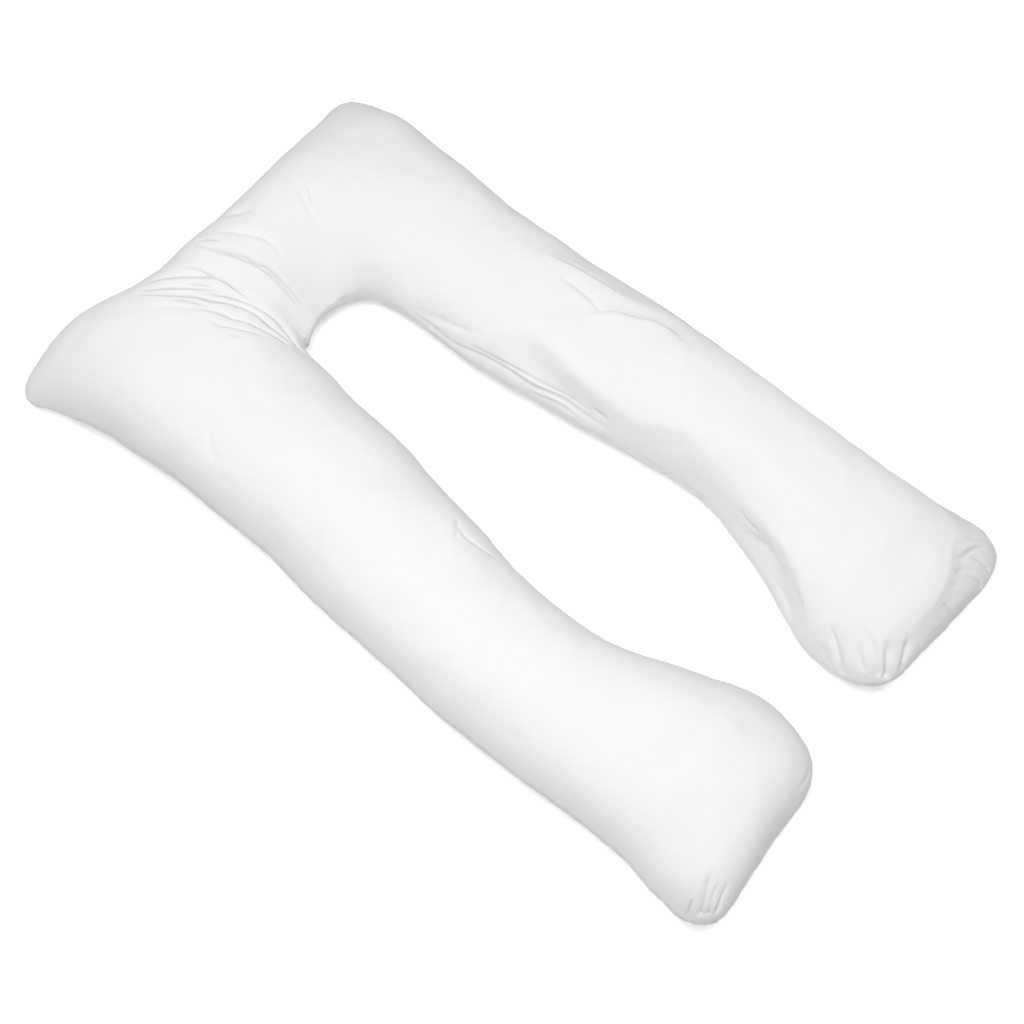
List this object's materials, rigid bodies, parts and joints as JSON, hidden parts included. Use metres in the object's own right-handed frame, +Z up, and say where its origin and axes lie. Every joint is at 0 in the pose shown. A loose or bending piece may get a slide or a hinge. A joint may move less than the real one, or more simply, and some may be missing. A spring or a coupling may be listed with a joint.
{
  "type": "body pillow",
  "caption": "Long stuffed U body pillow that lies flat: a head bar with square corners, a leg down each side and a flared foot at the end of each leg.",
  "frame": {"origin": "on the surface that the pillow lies on, under the middle of its length and width", "axes": "+Y from the feet to the head bar, +X towards the slacker leg, +Z up out of the surface"},
  "size_m": [0.791, 1.3978, 0.1676],
  "materials": {
    "cotton_cover": "plain white woven cotton, matt"
  },
  "bodies": {
    "root": {"pillow": "cotton_cover"}
  },
  "joints": []
}
